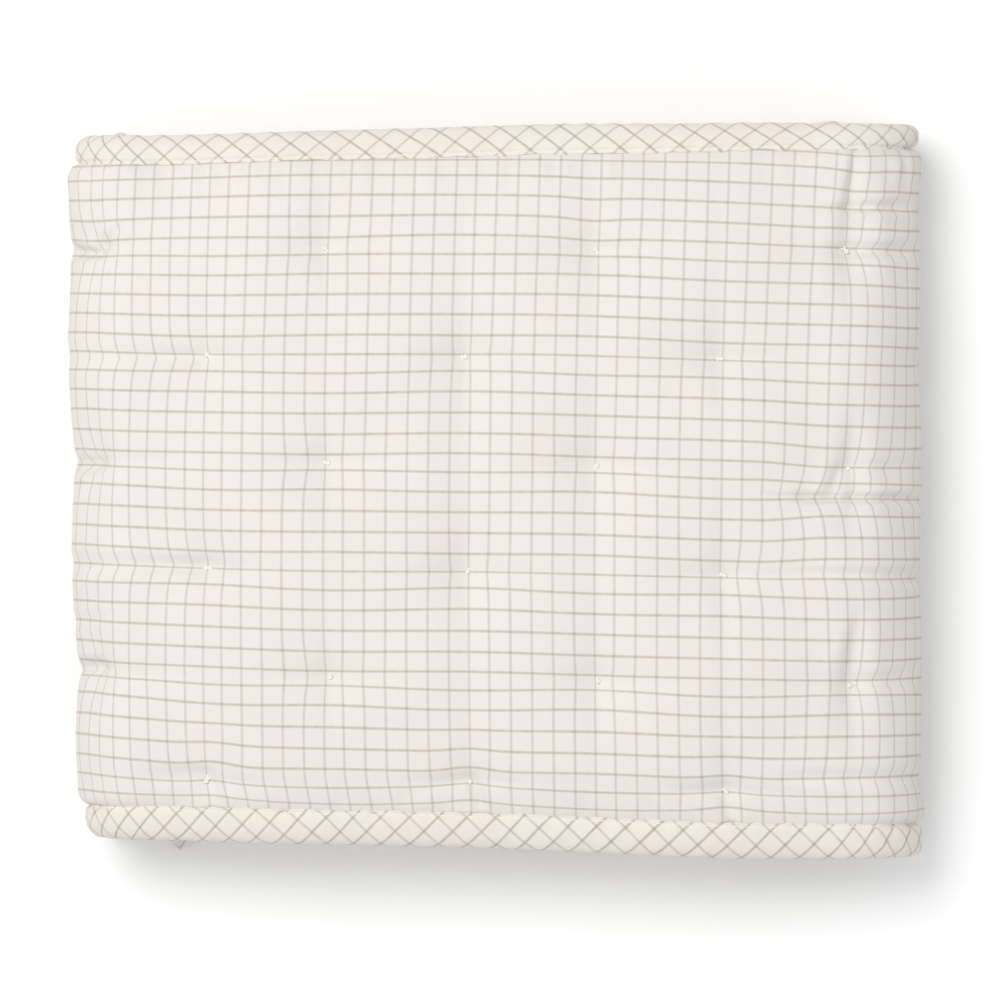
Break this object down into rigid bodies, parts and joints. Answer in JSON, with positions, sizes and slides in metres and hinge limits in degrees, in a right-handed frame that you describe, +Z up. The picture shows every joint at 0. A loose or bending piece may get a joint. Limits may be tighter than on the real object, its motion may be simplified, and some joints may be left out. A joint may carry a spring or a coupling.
{
  "type": "folded crib bumper",
  "caption": "Padded and tufted crib bumper strip with bias-bound long edges, folded over and over into four layers and lying flat.",
  "frame": {"origin": "middle of the heap's box, on the surface it lies on", "axes": "+X along the folded strip towards its two right-hand folds, +Y across the strip towards its head, +Z up through the layers"},
  "size_m": [0.35, 0.3058, 0.0747],
  "materials": {
    "check_cotton": "matte woven cotton, ivory with a fine taupe windowpane check",
    "bias_cotton": "the same check cotton cut on the bias, matte",
    "tuft_thread": "soft white cotton thread, matte"
  },
  "bodies": {
    "root": {"padded_panel": "check_cotton", "binding_top": "bias_cotton", "binding_bottom": "bias_cotton"}
  },
  "joints": []
}
